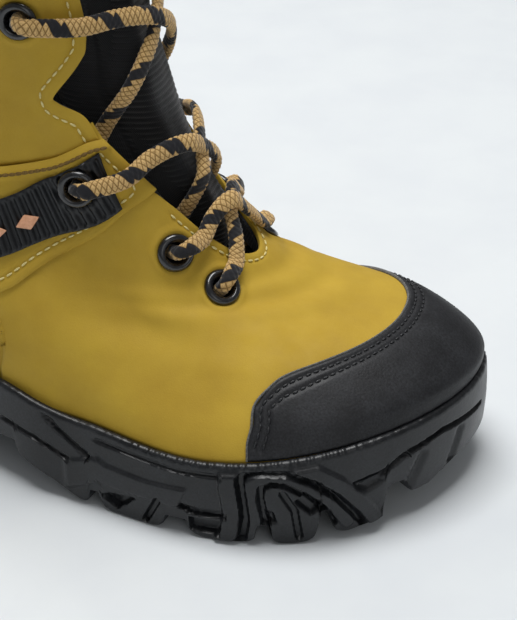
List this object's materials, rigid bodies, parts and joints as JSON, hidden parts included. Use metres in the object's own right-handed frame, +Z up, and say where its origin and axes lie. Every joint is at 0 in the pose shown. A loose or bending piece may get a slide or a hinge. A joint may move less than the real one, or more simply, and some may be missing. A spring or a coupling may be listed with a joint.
{
  "type": "mountaineering boot",
  "caption": "Laced ankle-high mountaineering boot for the right foot, with lugged rubber sole, toe cap, side straps, padded tongue and heel loop.",
  "frame": {"origin": "on the ground, under the middle of the boot's bounding box", "axes": "+X from heel to toe, +Y to the inner (medial) side, +Z up; the plane of the lugs is Z = 0"},
  "size_m": [0.2342, 0.1058, 0.2031],
  "materials": {
    "nubuck": "nubuck, matt",
    "toe_leather": "smooth, satin",
    "sole_rubber": "satin",
    "plate_rubber": "satin, ribbed",
    "eva": "matt foam",
    "steel": "plain",
    "board": "fibre board",
    "textile": "woven",
    "foam": "open-cell foam",
    "webbing": "woven tape",
    "eyelet_metal": "black lacquer",
    "lace_cord": "braided, flecked",
    "aglet_plastic": "gloss"
  },
  "bodies": {
    "boot": {"outsole": "sole_rubber", "midsole": "eva", "shank": "steel", "insole_board": "board", "footbed": "textile", "vamp": "nubuck", "vamp_lining": "textile", "toe_cap": "toe_leather", "toe_puff": "board", "quarter_lateral": "nubuck", "quarter_medial": "nubuck", "shaft_lateral": "nubuck", "shaft_medial": "nubuck", "strap_lateral": "nubuck", "strap_medial": "nubuck", "strap_plate_lateral": "plate_rubber", "strap_plate_medial": "plate_rubber", "heel_cap": "toe_leather", "heel_counter": "board", "backstay": "webbing", "shaft_lining": "textile", "ankle_padding": "foam", "collar": "textile", "eyelet_lateral_1": "eyelet_metal", "eyelet_lateral_2": "eyelet_metal", "eyelet_lateral_3": "eyelet_metal", "eyelet_lateral_4": "eyelet_metal", "eyelet_lateral_5": "eyelet_metal", "eyelet_medial_1": "eyelet_metal", "eyelet_medial_2": "eyelet_metal", "eyelet_medial_3": "eyelet_metal", "eyelet_medial_4": "eyelet_metal", "eyelet_medial_5": "eyelet_metal", "lace": "lace_cord", "lace_end_lateral": "lace_cord", "lace_end_medial": "lace_cord", "aglet_lateral": "aglet_plastic", "aglet_medial": "aglet_plastic"},
    "tongue": {"tongue": "textile", "tongue_lining": "textile"},
    "pull_loop": {"pull_loop": "webbing"}
  },
  "joints": [
    {"name": "tongue_hinge", "type": "hinge", "parent": "boot", "child": "tongue", "pos_m": [0.0341, 0.00709, 0.0577], "axis": [0, -1, 0], "range_deg": [0, 8]},
    {"name": "pull_loop_hinge", "type": "hinge", "parent": "boot", "child": "pull_loop", "pos_m": [-0.11309, 0.00709, 0.172], "axis": [0, -1, 0], "range_deg": [0, 30], "stiffness_Nm_per_rad": 0.01}
  ]
}
